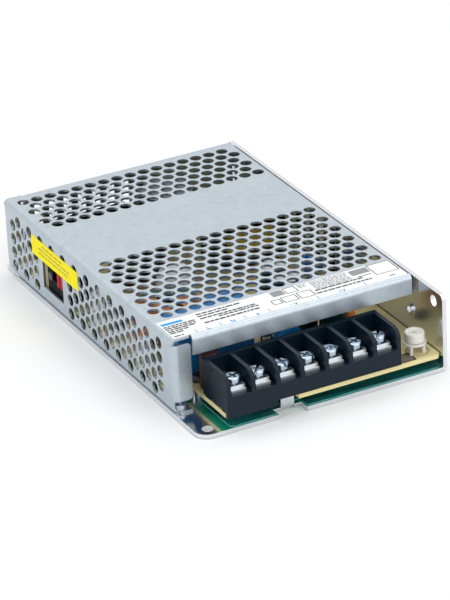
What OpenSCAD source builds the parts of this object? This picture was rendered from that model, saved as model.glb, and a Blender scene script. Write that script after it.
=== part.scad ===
// Enclosed switching power supply: a folded base with one tall side wall, a perforated folded cover,
// a circuit board with its components, a barrier terminal block, a voltage selector and a trimmer.
// Frame: origin at the centre of the base's underside, +Z up, terminals at -Y, tall wall at +X.

/* [Case] */
// Length of the base, from the terminal end to the back
case_length = 159; // [155:1:175]
// Width over the cover's wall and the chassis wall
case_width = 97; // [95:1:110]
// Height of the cover's top face over the base's underside
case_height = 30; // [29.5:0.5:36]
// Thickness of the chassis sheet
chassis_sheet = 1.5; // [1:0.1:1.6]
// Thickness of the cover sheet
cover_sheet = 0.9; // [0.6:0.1:1.2]
// Outside radius of every fold
fold_radius = 2; // [1.7:0.1:3]
// Step from the cover's top face down to the edge of the chassis wall
wall_step = 1; // [0.5:0.1:2]
// Radius of the chassis wall's upper corners
wall_corner = 2; // [1:0.5:4]
// Radius of the base's front left corner
base_corner = 5; // [2:0.5:6]
// Length of the narrowing at the base's back left corner
base_relief_length = 11.5; // [6:0.5:16]
// Depth of the narrowing at the base's back left corner
base_relief_depth = 1.2; // [0.5:0.1:2]

/* [Front notch] */
// Distance from the base's left edge to the notch
notch_inset = 30.3; // [26:0.1:40]
// Width of the notch in the base's front edge
notch_width = 11; // [8:0.5:16]
// Depth of the notch
notch_depth = 4.4; // [3:0.1:6]
// Width of the tab folded up from the notch
tab_width = 5.2; // [3:0.1:7]
// Gap between the tab and the notch's left corner
tab_inset = 3; // [1.5:0.1:4]

/* [Fixing holes] */
// Diameter of the plain holes in the base and the wall
plain_hole = 4.2; // [3.2:0.1:4.6]
// Distance of the base's hole from the left edge
base_hole_inset = 4.9; // [4:0.1:5.4]
// Distance of the base's hole from the front edge
base_hole_setback = 4.5; // [4:0.1:8]
// Distance of the wall's hole from the front edge
wall_hole_setback = 6; // [4:0.1:8]
// Distance of the wall's hole below the wall's upper edge
wall_hole_drop = 4; // [3.5:0.1:8]
// Bore of a tapped M3 boss
tapped_bore = 2.5; // [2.4:0.1:2.6]
// Outside diameter of a tapped boss
boss_diameter = 5.2; // [4.4:0.1:6]
// Height of a tapped boss over its sheet
boss_height = 1.6; // [1:0.1:2]
// Outside diameter of the wall's tapped bosses
side_boss_diameter = 4.2; // [3.6:0.1:5.2]
// Height of the wall's tapped bosses over the sheet
side_boss_rise = 0.8; // [0.5:0.1:1.6]
// Height of the wall's tapped bosses over the underside
side_boss_height = 15; // [12:0.5:18]
// Distance from the base's front edge to the wall's front tapped boss
boss_setback = 22; // [20:0.5:26]
// Distance from the base's front edge to the base's front tapped bosses
base_boss_setback = 38; // [37:0.5:46]
// Distance from the base's back edge to the back tapped bosses
boss_back_setback = 20; // [16:0.5:40]
// Gap between the cover's foot and the base's tapped bosses
base_boss_gap = 0.8; // [0.4:0.1:6]

/* [Cover] */
// Distance from the base's front edge to the cover's front
cover_setback = 18.5; // [17:0.5:22]
// Distance from the cover's back to the base's back edge
cover_back_gap = 3; // [2:0.5:6]
// Depth of the front lip
front_lip = 7.3; // [5:0.1:8]
// Gap between the base and the lower edge of the back panel
back_panel_gap = 1.2; // [0.6:0.1:4]
// Gap between the back panel and the sheets at its two sides
panel_side_gap = 0.5; // [0.3:0.1:1]
// Gap between the cover's flange and the chassis wall
wall_gap = 0.4; // [0.2:0.1:0.8]
// Distance from the cover's left face to the start of the lip and the back panel's fold
lip_inset = 7.9; // [7:0.1:12]
// Gap between the lip's right end and the flange's outer face
lip_end_gap = 0.8; // [0.4:0.1:2]
// Width of the return flanges at the ends of the left wall
return_width = 7; // [5:0.1:7.4]
// Height of the lower edge of the return flanges
return_bottom = 6.2; // [5:0.1:9]
// Gap between the return flanges and the top sheet
return_gap = 1.3; // [1:0.1:4]
// Corner radius of the return flanges
return_corner = 1.5; // [0.5:0.1:2.5]
// Width of the foot that lies on the base
foot_width = 6.6; // [6:0.1:7.4]
// Depth of the two flange tongues that lie against the chassis wall
side_flange = 8; // [6:0.5:10]
// Length of each flange tongue
tongue_length = 22; // [12:1:24]
// Depth of the flange between the tongues
flange_rim = 3; // [2.5:0.1:4]
// Distance of the foot's screws from the cover's ends
foot_screw_margin = 3.6; // [3.4:0.1:8]
// Distance of the flange's screws from the cover's ends
flange_screw_margin = 14; // [8:0.5:16]

/* [Vents] */
// Pitch of the vent holes
vent_pitch = 5.5; // [5:0.1:6]
// Diameter of a vent hole
vent_hole = 4.4; // [3:0.1:4.6]
// Least distance from the cover's side faces to a vent hole's middle, across the top
vent_margin = 4.4; // [4.2:0.1:8]
// Rows in the back zone of the top
back_vent_rows = 6; // [2:1:8]
// Distance from the cover's back to the first row
back_vent_setback = 7.2; // [6:0.1:10]
// Distance from the cover's back to the first row of the front zone
front_vent_setback = 70.6; // [60:0.1:74]
// Distance from the cover's back to the first column of the left wall
wall_vent_setback = 7.8; // [7:0.1:12]
// Least distance from the cover's front to the last column of the left wall
wall_vent_margin = 8; // [7:0.1:12]
// Least height of a wall vent's middle over the underside
wall_vent_sill = 5.7; // [5.7:0.1:9]
// Distance of the wall's uppermost holes below the cover's top face
wall_vent_drop = 4.9; // [4.6:0.1:7]
// Number of slots in the back panel
slot_count = 7; // [3:1:12]
// Pitch of the slots in the back panel
slot_pitch = 6; // [5.4:0.1:7]
// Width of a slot in the back panel
slot_width = 3.1; // [2.4:0.1:4.6]
// Height of a slot in the back panel
slot_height = 12; // [8:0.1:16]
// Distance of the slots' upper ends below the cover's top face
slot_drop = 4.6; // [3:0.1:8]
// Distance from the cover's left face to the first slot's middle
slot_inset = 13.7; // [11:0.1:20]

/* [Selector] */
// Distance from the cover's back to the selector window's middle
window_setback = 41; // [36:0.1:46]
// Width of the selector window
window_width = 16.7; // [14:0.1:18]
// Height of the selector window
window_height = 11.4; // [9:0.1:12]
// Height of the window's lower edge over the underside
window_sill = 7.3; // [7:0.1:10]
// Land left between the window and the nearest vent holes
window_land = 2; // [1:0.1:3]
// Length of the selector body
selector_length = 15.4; // [14:0.1:18]
// Depth of the selector body behind the window
selector_depth = 9; // [7:0.1:11]
// Height of the selector body over the board
selector_height = 14.4; // [13:0.1:16]
// Gap between the cover's wall and the selector's face
selector_gap = 0.4; // [0.2:0.1:1]
// Height of the slider
slider_height = 5.2; // [3:0.1:6]
// Length of the slider
slider_length = 4.8; // [3:0.1:6]
// How far the slider stands out of the selector's face
slider_reach = 1.2; // [0.6:0.1:1.2]
// Travel of the slider
slider_travel = 6; // [3:0.5:8]
// Depth of the slot that guides the slider
slider_slot = 3; // [2:0.1:5]
// Running clearance of the slider in its slot
slider_clearance = 0.1; // [0.05:0.01:0.2]
// Height of the slider's middle over the selector's foot
slider_level = 8.4; // [7.5:0.1:9]
// Thickness of the laminate at the end of the selector
laminate = 1.4; // [0.8:0.1:2]
// Diameter of the selector's rivet
rivet_diameter = 3.2; // [2:0.1:4]
// Height of the rivet over the board
rivet_level = 6.3; // [4:0.1:8]

/* [Labels] */
// Thickness of the rating label and of the sticker
label_sheet = 0.1; // [0.05:0.01:0.2]
// Depth of the rating label, back to front
label_depth = 13.6; // [10:0.1:18]
// Margin from the cover's left face and front to the rating label
label_margin = 1.6; // [1.5:0.1:4]
// Length of the sticker on the left wall
sticker_length = 38.4; // [30:0.1:44]
// Height of the sticker on the left wall
sticker_height = 7.5; // [5:0.1:8]
// How far the sticker laps over the selector window's upper edge
sticker_lap = 0.8; // [0:0.1:3]
// Distance from the sticker's middle to the window's middle, to the front
sticker_shift = 2.5; // [0:0.1:6]

/* [Board] */
// Height of the board's underside over the base
standoff = 3.4; // [3:0.1:4]
// Thickness of the board
board_sheet = 1.6; // [1:0.1:2]
// Gap between the board and the cover's wall
board_side_gap = 1.2; // [0.8:0.1:2]
// Gap between the board and the chassis wall
board_wall_gap = 0.4; // [0.3:0.1:2]
// Distance from the base's front edge to the board's front edge
board_setback = 1.2; // [0.6:0.1:3]
// Distance from the base's back edge to the board's back edge
board_back_gap = 6; // [5:0.1:10]
// Width of the cut-out at the board's front left corner
board_step = 8.8; // [8:0.1:10]
// Length of the cut-out at the board's front left corner
board_step_length = 28; // [26:0.5:32]
// Chamfer of the board's front right corner
board_chamfer = 1; // [0.5:0.1:4]
// Gap between the board's cut-outs and what stands in them
board_clearance = 0.3; // [0.2:0.1:1]
// Diameter of a standoff
standoff_diameter = 6.4; // [5:0.1:7]
// Distance of the standoffs from the board's sides
standoff_inset = 8.6; // [8.4:0.1:10]
// Distance of the back standoffs from the board's back edge
standoff_setback = 3.6; // [3.4:0.1:6]
// Distance of the front standoffs from the terminal block
standoff_reach = 11; // [8:0.1:12]
// Diameter of the board's screw holes
board_hole = 3.3; // [3.2:0.1:3.6]
// Thickness of the insulation film
film_sheet = 0.25; // [0.1:0.05:0.4]
// Distance from the base's front edge to the film
film_setback = 1; // [0.5:0.1:2]
// Distance from the base's left edge to the film
film_inset = 12.1; // [11:0.1:16]
// Gap between the film and the chassis wall
film_wall_gap = 1.2; // [0.8:0.1:3]
// Clearance of the film round bosses and standoffs
film_clearance = 0.5; // [0.3:0.1:1]

/* [Terminal block] */
// Distance between terminals
terminal_pitch = 9.5; // [9:0.1:9.6]
// Thickness of the barriers
barrier = 1.5; // [1:0.1:2]
// Distance from the base's left edge to the block
block_inset = 11; // [10.4:0.1:13]
// Distance from the base's front edge to the block
block_setback = 0.5; // [0.2:0.1:2]
// Depth of the block, front to back
block_depth = 18; // [16:0.1:18.4]
// Height of the block over the board
block_height = 14.2; // [13:0.1:15]
// Height of the terminal floor over the board
floor_height = 6.6; // [6.2:0.1:8]
// Height of the block's feet
block_foot = 0.5; // [0.3:0.1:1]
// Radius of the barriers' front corners
barrier_corner = 4; // [2:0.1:5]
// Thickness of the block's skirt in front of the board's edge
skirt_sheet = 1.5; // [1:0.1:2]
// Thickness of the block's back wall
block_back = 1.8; // [1:0.1:3]
// Diameter of the terminal screws' threads
terminal_screw = 3.5; // [3:0.1:4]
// Length of the terminal screws under the head
terminal_screw_length = 7.5; // [6:0.1:8]
// Diameter of the terminal screws' heads
screw_head = 6.2; // [5.6:0.1:7]
// Height of the terminal screws' heads
screw_head_height = 1.8; // [1.4:0.1:3]
// Gap left under the heads of the terminal screws
screw_lift = 0.9; // [0:0.1:1.6]
// Distance from the block's front to the screws
screw_setback = 6.4; // [5:0.1:8]
// Side of a square clamp washer
washer_side = 6.2; // [5.4:0.1:7.6]
// Thickness of a clamp washer
washer_sheet = 0.9; // [0.6:0.1:1.4]
// Width of a terminal tab
tab_strip = 5.6; // [4:0.1:7]
// Distance from the block's front to the terminal tabs
tab_setback = 1.9; // [0.5:0.1:3]
// Thickness of a terminal tab
tab_sheet = 1.1; // [0.5:0.1:1.2]
// Width of a terminal tab's solder pin
tab_pin = 1.6; // [1:0.1:2]
// Clearance of screws, pins and tabs in their holes
seat_clearance = 0.1; // [0.05:0.01:0.2]

/* [Trimmer] */
// Distance from the chassis wall's inner face to the trimmer's axis
trimmer_inset = 7.2; // [6:0.1:9]
// Distance from the base's front edge to the trimmer's axis
trimmer_setback = 7.4; // [6:0.1:12]
// Height of the trimmer's legs
trimmer_leg = 3.6; // [1:0.1:4]
// Diameter of the trimmer's legs
trimmer_leg_diameter = 1.4; // [1:0.1:2]
// Diameter of the trimmer's flange
trimmer_flange = 8.4; // [7.6:0.1:10]
// Thickness of the trimmer's flange
trimmer_flange_sheet = 0.7; // [0.6:0.1:2]
// Diameter of the trimmer's rotor
rotor_diameter = 7.2; // [6:0.1:8]
// Height of the rotor
rotor_height = 3.6; // [3:0.1:5]
// Depth of the dish in the rotor's top
rotor_dish = 0.4; // [0.2:0.1:1]
// Diameter of the rotor's shaft
rotor_shaft = 2.4; // [2:0.1:3]
// Least gap between the terminal block and the trimmer's flange
trimmer_gap = 3; // [2:0.1:6]
// Running clearance of the rotor
rotor_clearance = 0.05; // [0.03:0.01:0.1]

/* [Power devices] */
// Number of power devices on the chassis wall
device_count = 3; // [2:1:4]
// Distance between power devices
device_pitch = 10.4; // [10.2:0.1:12]
// Width of a power device
device_width = 10; // [9:0.1:10]
// Height of a power device's body
device_height = 15; // [12:0.1:16]
// Thickness of a power device
device_depth = 2.2; // [1.6:0.1:4]
// Gap between a power device's body and the cover's flange above it
device_top_gap = 2; // [1:0.1:3]
// Distance from the cover's front to the first power device
device_setback = 62.6; // [50:0.1:70]
// Thickness of the thermal pad
pad_sheet = 0.4; // [0.2:0.1:0.8]
// Width of a device clip
clip_width = 2.4; // [2:0.1:5]
// Thickness of a device clip
clip_sheet = 0.6; // [0.4:0.1:1]
// Gap between a device clip and the cover's top sheet
clip_gap = 0.7; // [0.5:0.1:2]

/* [Hidden] */
$fn = 48;
// Overshoot of a cutting shape past the face it cuts
over = 1;

left = -case_width / 2;
right = case_width / 2;
front = -case_length / 2;
back = case_length / 2;
base_top = chassis_sheet;
wall_inner = right - chassis_sheet;
wall_top = case_height - wall_step;
notch_left = left + notch_inset;
notch_back = front + notch_depth;
tab_left = notch_left + tab_inset;

cover_front = front + cover_setback;
cover_back = back - cover_back_gap;
cover_under = case_height - cover_sheet;
cover_inner = left + cover_sheet;
lip_left = left + lip_inset;
flange_face = wall_inner - wall_gap;
lip_right = flange_face - lip_end_gap;
cover_length = cover_back - cover_front;
return_top = cover_under - return_gap;
foot_top = base_top + cover_sheet;

vent_row = vent_pitch * sin(60);
vent_columns = floor((wall_inner - left - 2 * vent_margin) / vent_pitch + 0.5);
front_vent_depth = cover_length - front_vent_setback - label_margin - label_depth - vent_hole / 2;
front_vent_rows = floor(front_vent_depth / vent_row) + 1;
wall_vent_columns = floor((cover_length - wall_vent_setback - wall_vent_margin) / vent_row) + 1;
wall_vent_rows = floor((case_height - wall_vent_drop - wall_vent_sill) / vent_pitch + 0.5);
vent_span = (vent_columns - 0.5) * vent_pitch;
vent_left = (left + wall_inner - vent_span) / 2;
window_middle = cover_back - window_setback;
window_top = window_sill + window_height;

board_bottom = base_top + standoff;
board_top = board_bottom + board_sheet;
board_left = cover_inner + board_side_gap;
board_right = wall_inner - board_wall_gap;
board_front = front + board_setback;
board_back = back - board_back_gap;
board_step_left = board_left + board_step;
board_step_back = board_front + board_step_length;
side_boss_places = [front + boss_setback, back - boss_back_setback];
base_boss_inset = foot_width + base_boss_gap + boss_diameter / 2;
base_boss_places = [front + base_boss_setback, back - boss_back_setback];
base_boss_points = [for (x = [left + base_boss_inset, right - base_boss_inset], y = base_boss_places) [x, y]];

trimmer_x = wall_inner - trimmer_inset;
trimmer_y = front + trimmer_setback;
block_left = left + block_inset;
terminal_reach = trimmer_x - trimmer_flange / 2 - trimmer_gap - block_left - barrier;
terminal_count = floor(terminal_reach / terminal_pitch);
block_width = terminal_count * terminal_pitch + barrier;
block_right = block_left + block_width;
block_front = front + block_setback;
block_rear = block_front + block_depth;
block_top = board_top + block_height;
floor_level = board_top + floor_height;
screw_line = block_front + screw_setback;
washer_level = floor_level + tab_sheet;
head_level = washer_level + washer_sheet + screw_lift;
tab_rear = block_rear - block_back - seat_clearance;
tab_front = block_front + tab_setback;
standoff_front = block_rear + standoff_reach;
standoff_back = board_back - standoff_setback;
standoff_points = [
    [board_step_left + standoff_diameter / 2 + film_clearance, standoff_front],
    [board_right - standoff_inset, standoff_front],
    [board_left + standoff_inset, standoff_back],
    [board_right - standoff_inset, standoff_back]];
function terminal_middle(i) = block_left + barrier / 2 + (i + 0.5) * terminal_pitch;
terminal_places = [for (i = [0 : terminal_count - 1]) terminal_middle(i)];

selector_face = cover_inner + selector_gap;
selector_back = selector_face + selector_depth;
slot_start = window_middle - window_width / 2 + slider_clearance;
slot_length = slider_length + slider_travel + 2 * slider_clearance;
slider_middle = board_top + slider_level;
selector_front = window_middle + window_width / 2 - laminate - selector_length;

flange_level = board_top + trimmer_leg;
rotor_level = flange_level + trimmer_flange_sheet + rotor_clearance;

device_face = wall_inner - pad_sheet;
device_top = case_height - flange_rim - device_top_gap;
device_bottom = device_top - device_height;
device_places = [for (i = [0 : device_count - 1]) cover_front + device_setback + i * device_pitch];

// Outline in X and Z, drawn along Y
module along_y(from, to) {
    translate([0, to, 0]) rotate([90, 0, 0]) linear_extrude(to - from) children();
}

// Outline in Y and Z, drawn along X
module along_x(from, to) {
    translate([from, 0, 0]) rotate([90, 0, 90]) linear_extrude(to - from) children();
}

// Outline in X and Y, drawn along Z
module along_z(from, to) {
    translate([0, 0, from]) linear_extrude(to - from) children();
}

// Rectangle between two corners
module span(low, high) {
    translate(low) square(high - low);
}

// Quarter ring of sheet for a fold, in the quadrant that the turn gives
module fold(sheet, turn) {
    rotate(turn) intersection() {
        difference() {
            circle(fold_radius);
            circle(fold_radius - sheet);
        }
        square(fold_radius);
    }
}

// What a rounding takes off a corner at the origin, with the sheet to +X and +Y
module corner_waste(radius) {
    difference() {
        translate([-over, -over]) square(radius + over);
        translate([radius, radius]) circle(radius);
    }
}

// Rectangle with rounded corners, centred
module rounded(size, radius) {
    square([size.x - 2 * radius, size.y], center = true);
    square([size.x, size.y - 2 * radius], center = true);
    for (x = [-1, 1], y = [-1, 1])
        translate([x * (size.x / 2 - radius), y * (size.y / 2 - radius)]) circle(radius);
}

// Tapped boss drawn up from a sheet, standing on the origin
module boss() {
    cylinder(d = boss_diameter, h = boss_height);
}

module tapped_hole(length) {
    translate([0, 0, -over]) cylinder(d = tapped_bore, h = length + 2 * over);
}

// Case

module chassis_sheet_metal() {
    along_y(front, back) {
        span([left, 0], [right - fold_radius, chassis_sheet]);
        translate([right - fold_radius, fold_radius]) fold(chassis_sheet, 270);
        span([wall_inner, fold_radius], [right, wall_top]);
    }
}

module base_cuts() {
    along_z(-over, base_top + over) {
        translate([left, front]) corner_waste(base_corner);
        span([left - over, back - base_relief_length], [left + base_relief_depth, back + over]);
        span([notch_left, front - over], [notch_left + notch_width, notch_back]);
        span([tab_left, front - over], [tab_left + tab_width, notch_back + fold_radius]);
        translate([left + base_hole_inset, front + base_hole_setback]) circle(d = plain_hole);
    }
}

module wall_cuts() {
    along_x(wall_inner - over, right + over) {
        translate([front, wall_top]) rotate(270) corner_waste(wall_corner);
        translate([back, wall_top]) rotate(180) corner_waste(wall_corner);
        translate([front + wall_hole_setback, wall_top - wall_hole_drop]) circle(d = plain_hole);
    }
}

module notch_tab() {
    along_x(tab_left, tab_left + tab_width) {
        translate([notch_back + fold_radius, fold_radius]) fold(chassis_sheet, 180);
        span([notch_back, fold_radius], [notch_back + chassis_sheet, board_top]);
    }
}

module chassis() {
    color("lightgray") difference() {
        union() {
            difference() {
                chassis_sheet_metal();
                base_cuts();
                wall_cuts();
            }
            notch_tab();
            for (p = standoff_points) translate([p.x, p.y, 0])
                cylinder(d = standoff_diameter, h = board_bottom);
            for (p = base_boss_points) translate([p.x, p.y, base_top]) boss();
            for (y = side_boss_places) translate([wall_inner, y, side_boss_height]) rotate([0, -90, 0])
                cylinder(d = side_boss_diameter, h = side_boss_rise);
        }
        for (p = standoff_points) translate([p.x, p.y, 0]) tapped_hole(board_bottom);
        for (p = base_boss_points) translate([p.x, p.y, 0]) tapped_hole(base_top + boss_height);
        for (y = side_boss_places) translate([right, y, side_boss_height]) rotate([0, -90, 0])
            tapped_hole(chassis_sheet + side_boss_rise);
        for (p = cover_screw_points) translate([p.x, p.y, 0]) countersink(chassis_sheet);
        for (y = flange_screw_places) translate([right, y, flange_screw_height]) rotate([0, -90, 0])
            countersink(chassis_sheet);
    }
}

// Fixing screws of the cover: two through the base into the foot, two through the wall into the flange
cover_thread = 2.5;
cover_screw_head = 4.6;
foot_edge = 0.4;
// How far a folded stretch of the cover laps into the flat sheet that it runs on from
sheet_lap = 1;
cover_screw_points = [for (y = [cover_front + foot_screw_margin, cover_back - foot_screw_margin])
    [left + foot_width - foot_edge - boss_diameter / 2, y]];
flange_screw_places = [cover_front + flange_screw_margin, cover_back - flange_screw_margin];
flange_screw_height = case_height - side_flange + foot_edge + boss_diameter / 2;
cover_screw_length = chassis_sheet + wall_gap + cover_sheet + boss_height;

// Tapered seat for a flat screw head, open at the origin
module countersink(depth) {
    translate([0, 0, -over]) cylinder(d = cover_screw_head + 2 * seat_clearance, h = over);
    cylinder(d1 = cover_screw_head + 2 * seat_clearance, d2 = cover_thread + 2 * seat_clearance, h = depth / 2);
    cylinder(d = cover_thread + 2 * seat_clearance, h = depth + over);
}

// Folded outline of the cover across its width
module cover_outline() {
    span([left + fold_radius, cover_under], [flange_face - fold_radius, case_height]);
    translate([left + fold_radius, case_height - fold_radius]) fold(cover_sheet, 90);
    span([left, base_top + fold_radius], [cover_inner, case_height - fold_radius]);
    translate([left + fold_radius, base_top + fold_radius]) fold(cover_sheet, 180);
    span([left + fold_radius, base_top], [left + fold_radius + sheet_lap, foot_top]);
    translate([flange_face - fold_radius, case_height - fold_radius]) fold(cover_sheet, 0);
    span([flange_face - cover_sheet, case_height - flange_rim], [flange_face, case_height - fold_radius]);
}

module cover_foot() {
    along_y(cover_front, cover_back) span([left + fold_radius, base_top], [left + foot_width, foot_top]);
}

module flange_tongues() {
    for (y = [cover_front + fold_radius, cover_back - fold_radius - tongue_length])
        along_y(y, y + tongue_length)
            span([flange_face - cover_sheet, case_height - side_flange],
                [flange_face, case_height - fold_radius]);
}

// Corner of the top sheet beside a lip, running on past the fold line and lapping into the top
module cover_corner(from, to) {
    along_y(from, to) {
        span([left + fold_radius, cover_under], [lip_left - cover_sheet, case_height]);
        translate([left + fold_radius, case_height - fold_radius]) fold(cover_sheet, 90);
    }
}

module front_fold() {
    translate([cover_front + fold_radius, case_height - fold_radius]) fold(cover_sheet, 90);
}

module front_lip_sheet() {
    along_x(lip_left, lip_right) {
        front_fold();
        span([cover_front, case_height - front_lip], [cover_front + cover_sheet, case_height - fold_radius]);
    }
    along_x(lip_left, flange_face - fold_radius) {
        front_fold();
        span([cover_front + fold_radius, cover_under], [cover_front + fold_radius + sheet_lap, case_height]);
    }
}

module back_fold() {
    translate([cover_back - fold_radius, case_height - fold_radius]) fold(cover_sheet, 0);
}

module back_panel_sheet() {
    along_x(lip_left, lip_right) {
        back_fold();
        span([cover_back - cover_sheet, base_top + back_panel_gap], [cover_back, case_height - fold_radius]);
    }
    along_x(lip_left, flange_face - fold_radius) {
        back_fold();
        span([cover_back - fold_radius - sheet_lap, cover_under], [cover_back - fold_radius, case_height]);
    }
    along_x(left + return_width + panel_side_gap, wall_inner - panel_side_gap)
        span([cover_back - cover_sheet, base_top + back_panel_gap],
            [cover_back, case_height - 2 * fold_radius]);
}

// Upright slots with round ends in the back panel
module back_slots() {
    straight = slot_height - slot_width;
    for (i = [0 : slot_count - 1])
        translate([left + slot_inset + i * slot_pitch, case_height - slot_drop - slot_height / 2]) {
            square([slot_width, straight], center = true);
            for (s = [-1, 1]) translate([0, s * straight / 2]) circle(d = slot_width);
        }
}

// Return flange at the left wall's front edge, at the origin's Y
module return_flange() {
    height = return_top - return_bottom;
    difference() {
        along_z(return_bottom, return_top) {
            span([left, fold_radius], [cover_inner, fold_radius + sheet_lap]);
            translate([left + fold_radius, fold_radius]) fold(cover_sheet, 180);
            span([left + fold_radius, 0], [left + return_width, cover_sheet]);
        }
        along_y(-over, cover_sheet + over) {
            translate([left + return_width, return_bottom]) rotate(90) corner_waste(return_corner);
            translate([left + return_width, return_top]) rotate(180) corner_waste(return_corner);
        }
    }
}

module top_vents() {
    for (zone = [[back_vent_setback, back_vent_rows, 0], [front_vent_setback, front_vent_rows, 1]])
        for (row = [0 : zone[1] - 1], column = [0 : vent_columns - 1])
            translate([vent_left + (column + (row + zone[2]) % 2 / 2) * vent_pitch,
                cover_back - zone[0] - row * vent_row])
                circle(d = vent_hole);
}

// A wall vent is left out where it would come too near the selector window
function near_window(y, z) = abs(y - window_middle) < window_width / 2 + vent_hole / 2 + window_land
    && z < window_top + vent_hole / 2 + window_land / 2;

module wall_vents() {
    for (column = [0 : wall_vent_columns - 1], row = [0 : wall_vent_rows - 1]) {
        y = cover_back - wall_vent_setback - column * vent_row;
        z = case_height - wall_vent_drop - (row + (column + 1) % 2 / 2) * vent_pitch;
        if (!near_window(y, z)) translate([y, z]) circle(d = vent_hole);
    }
}

module cover() {
    color("silver") difference() {
        union() {
            along_y(cover_front + fold_radius, cover_back - fold_radius) cover_outline();
            cover_foot();
            flange_tongues();
            cover_corner(cover_front + cover_sheet, cover_front + fold_radius + sheet_lap);
            cover_corner(cover_back - fold_radius - sheet_lap, cover_back - cover_sheet);
            front_lip_sheet();
            back_panel_sheet();
            translate([0, cover_front, 0]) return_flange();
            translate([0, cover_back, 0]) mirror([0, 1, 0]) return_flange();
            for (p = cover_screw_points) translate([p.x, p.y, foot_top]) boss();
            for (y = flange_screw_places) translate([flange_face - cover_sheet, y, flange_screw_height])
                rotate([0, -90, 0]) boss();
        }
        along_z(cover_under - over, case_height + over) top_vents();
        along_x(left - over, cover_inner + over) {
            wall_vents();
            span([window_middle - window_width / 2, window_sill],
                [window_middle + window_width / 2, window_top]);
        }
        along_y(cover_back - cover_sheet - over, cover_back + over) back_slots();
        for (p = cover_screw_points) translate([p.x, p.y, base_top]) cover_thread_hole();
        for (y = flange_screw_places) translate([wall_inner, y, flange_screw_height]) rotate([0, -90, 0])
            cover_thread_hole();
    }
}

module cover_thread_hole() {
    translate([0, 0, -over])
        cylinder(d = cover_thread + 2 * seat_clearance, h = cover_screw_length + 2 * over);
}

// Flat-head screw, its head's face on the origin, pointing up
module cover_screw() {
    cylinder(d1 = cover_screw_head, d2 = cover_thread, h = chassis_sheet / 2);
    cylinder(d = cover_thread, h = cover_screw_length);
}

module cover_screws() {
    color("gainsboro") {
        for (p = cover_screw_points) translate([p.x, p.y, 0]) cover_screw();
        for (y = flange_screw_places) translate([right, y, flange_screw_height]) rotate([0, -90, 0])
            cover_screw();
    }
}

module film_outline() {
    difference() {
        span([left + film_inset, front + film_setback], [wall_inner - film_wall_gap, board_back]);
        translate([left + film_inset, front + film_setback]) corner_waste(fold_radius);
        span([notch_left - film_clearance, front - over],
            [notch_left + notch_width + film_clearance, notch_back + fold_radius + film_clearance]);
        for (p = standoff_points) translate(p) circle(d = standoff_diameter + 2 * film_clearance);
        for (p = base_boss_points) translate(p) circle(d = boss_diameter + 2 * film_clearance);
    }
}

module insulation_film() {
    color("darkseagreen") along_z(base_top, base_top + film_sheet) film_outline();
}

module rating_label() {
    color("white") along_z(case_height, case_height + label_sheet)
        span([left + label_margin, cover_front + label_margin],
            [flange_face - label_margin, cover_front + label_margin + label_depth]);
}

module selector_sticker() {
    middle = window_middle - sticker_shift;
    bottom = window_top - sticker_lap;
    color("gold") along_x(left - label_sheet, left)
        span([middle - sticker_length / 2, bottom], [middle + sticker_length / 2, bottom + sticker_height]);
}

// Board

module board_outline() {
    difference() {
        union() {
            span([board_step_left, board_front], [board_right, board_back]);
            span([board_left, board_step_back], [board_right, board_back]);
        }
        translate([board_right, board_front]) rotate(45) square(board_chamfer * sqrt(2), center = true);
        span([board_step_left - over, board_front - over],
            [notch_left, block_front + skirt_sheet + board_clearance]);
        span([notch_left - over, board_front - over],
            [tab_left + tab_width + board_clearance, notch_back + chassis_sheet + board_clearance]);
        for (p = standoff_points) translate(p) circle(d = board_hole);
        for (x = terminal_places) translate([x, tab_rear - tab_sheet / 2])
            square([tab_pin, tab_sheet] + 2 * seat_clearance * [1, 1], center = true);
    }
}

module circuit_board() {
    color("burlywood") along_z(board_bottom, board_top) board_outline();
}

board_screw_head = 5.6;
board_screw_head_height = 2.2;
board_screw_length = standoff + board_sheet;

module board_screws() {
    color("gainsboro") for (p = standoff_points) translate([p.x, p.y, board_top]) {
        rotate_extrude() polygon([[0, 0], [board_screw_head / 2, 0],
            [board_screw_head / 2, board_screw_head_height * 0.6],
            [board_screw_head / 3, board_screw_head_height],
            [0, board_screw_head_height]]);
        translate([0, 0, -board_screw_length])
            cylinder(d = tapped_bore - 2 * rotor_clearance, h = board_screw_length);
    }
}

// Terminals

module barrier_outline() {
    difference() {
        span([block_front, board_top + block_foot], [block_rear, block_top]);
        translate([block_front, block_top]) rotate(270) corner_waste(barrier_corner);
    }
}

module terminal_block() {
    pin = [tab_pin, tab_sheet] + 2 * seat_clearance * [1, 1];
    color("dimgray") difference() {
        union() {
            along_x(block_left, block_right) {
                span([block_front, board_top + block_foot], [block_rear, floor_level]);
                span([block_rear - block_back, floor_level], [block_rear, block_top]);
            }
            along_x(block_left, notch_left)
                span([block_front, board_bottom],
                    [block_front + skirt_sheet, board_top + block_foot + over]);
            for (i = [0 : terminal_count]) translate([i * terminal_pitch, 0, 0])
                along_x(block_left, block_left + barrier) {
                    barrier_outline();
                    span([block_front + barrier, board_top],
                        [block_front + 3 * barrier, board_top + block_foot]);
                    span([block_rear - 3 * barrier, board_top],
                        [block_rear - barrier, board_top + block_foot]);
                }
        }
        for (x = terminal_places) {
            translate([x, screw_line, head_level - terminal_screw_length - seat_clearance])
                cylinder(d = terminal_screw + 2 * seat_clearance, h = terminal_screw_length + over);
            translate([x, tab_rear - tab_sheet / 2, 0]) along_z(board_top - over, floor_level + over)
                square(pin, center = true);
        }
    }
}

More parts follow.
